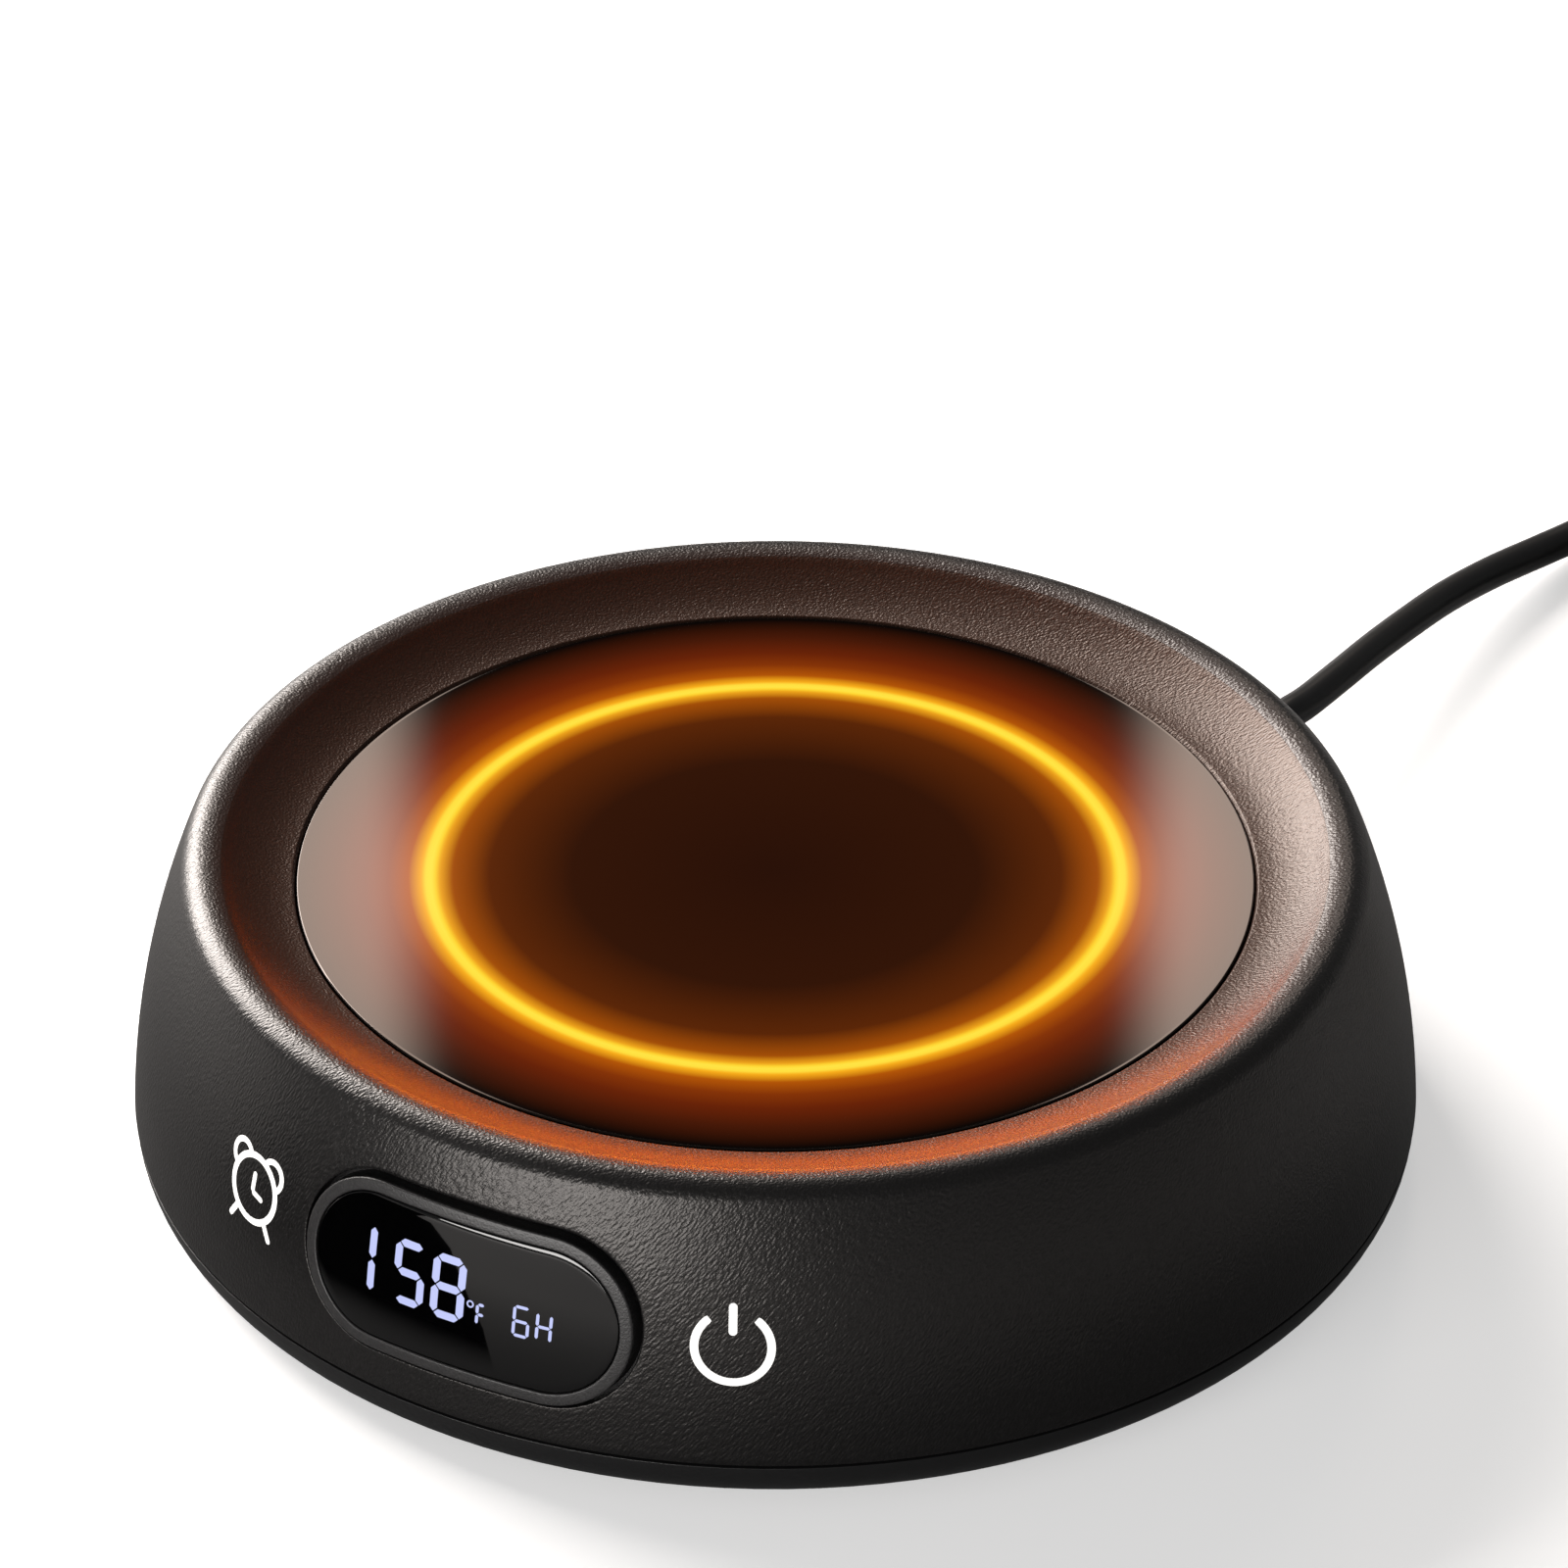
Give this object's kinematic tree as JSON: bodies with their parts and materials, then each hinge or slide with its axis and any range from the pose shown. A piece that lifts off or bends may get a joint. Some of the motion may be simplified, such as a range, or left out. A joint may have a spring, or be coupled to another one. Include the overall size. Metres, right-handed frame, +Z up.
{
  "type": "electric mug warmer",
  "caption": "Round desk-top mug warmer with a dished rim, sprung glass heating plate, front display window and rear mains cord.",
  "frame": {"origin": "on the table under the centre of the body", "axes": "+Z up; the display window faces -Y; the cord leaves at the rear, 12.5 degrees from +Y towards +X"},
  "size_m": [0.176, 0.266, 0.037],
  "materials": {
    "shell": "fine moulded grain",
    "dish": "satin",
    "lens": "polished",
    "base": "smooth satin",
    "feet": "matte",
    "screws": "plated",
    "plate_glass": "polished black glass",
    "spreader": "rolled",
    "mica": "layered",
    "track": "etched foil",
    "fibre": "felted",
    "carrier": "moulded",
    "fuse": "white enamel",
    "part_black": "moulded",
    "lead_red": "silicone",
    "plunger": "moulded",
    "board": "solder mask",
    "contact": "plated",
    "ribbon": "flat cable",
    "winding": "taped",
    "capacitor": "sleeved",
    "relay": "moulded",
    "terminal": "moulded",
    "cord": "satin PVC",
    "cord_fitting": "moulded PVC",
    "blade": "plain"
  },
  "bodies": {
    "housing": {"upper_shell": "shell", "dish_ring": "dish", "display_bezel": "shell", "display_lens": "lens", "base_tray": "base", "feet": "feet", "case_screws": "screws", "plate_springs": "screws", "heater_leads": "lead_red", "weight_switch": "part_black", "display_module": "part_black", "control_board": "board", "touch_springs": "contact", "board_cable": "ribbon", "power_board": "board", "transformer": "winding", "filter_capacitors": "capacitor", "power_relay": "relay", "terminal_block": "terminal", "board_screws": "screws", "supply_lead": "cord", "cord_clamp": "carrier", "clamp_screws": "screws", "strain_relief": "cord_fitting", "power_cord": "cord", "cord_coil": "cord", "cord_tail": "cord", "plug_body": "cord_fitting", "plug_blades": "blade"},
    "hot_plate": {"heating_plate": "plate_glass", "heat_spreader": "spreader", "upper_mica": "mica", "heating_element": "track", "lower_mica": "mica", "insulation_pad": "fibre", "plate_carrier": "carrier", "thermal_fuse": "fuse", "temperature_sensor": "part_black"},
    "plunger": {"switch_plunger": "plunger"}
  },
  "joints": [
    {"name": "plate_press", "type": "slide", "parent": "housing", "child": "hot_plate", "axis": [0, 0, 1], "range_m": [-0.001, 0], "stiffness_N_per_m": 3000, "springref_m": 0.0015, "deforming": ["plate_springs", "heater_leads"]},
    {"name": "plunger_press", "type": "slide", "parent": "housing", "child": "plunger", "axis": [0, 0, 1], "range_m": [-0.001, 0]}
  ],
  "couplings": [
    {"joint": "plunger_press", "follows": "plate_press", "ratio": 1}
  ]
}
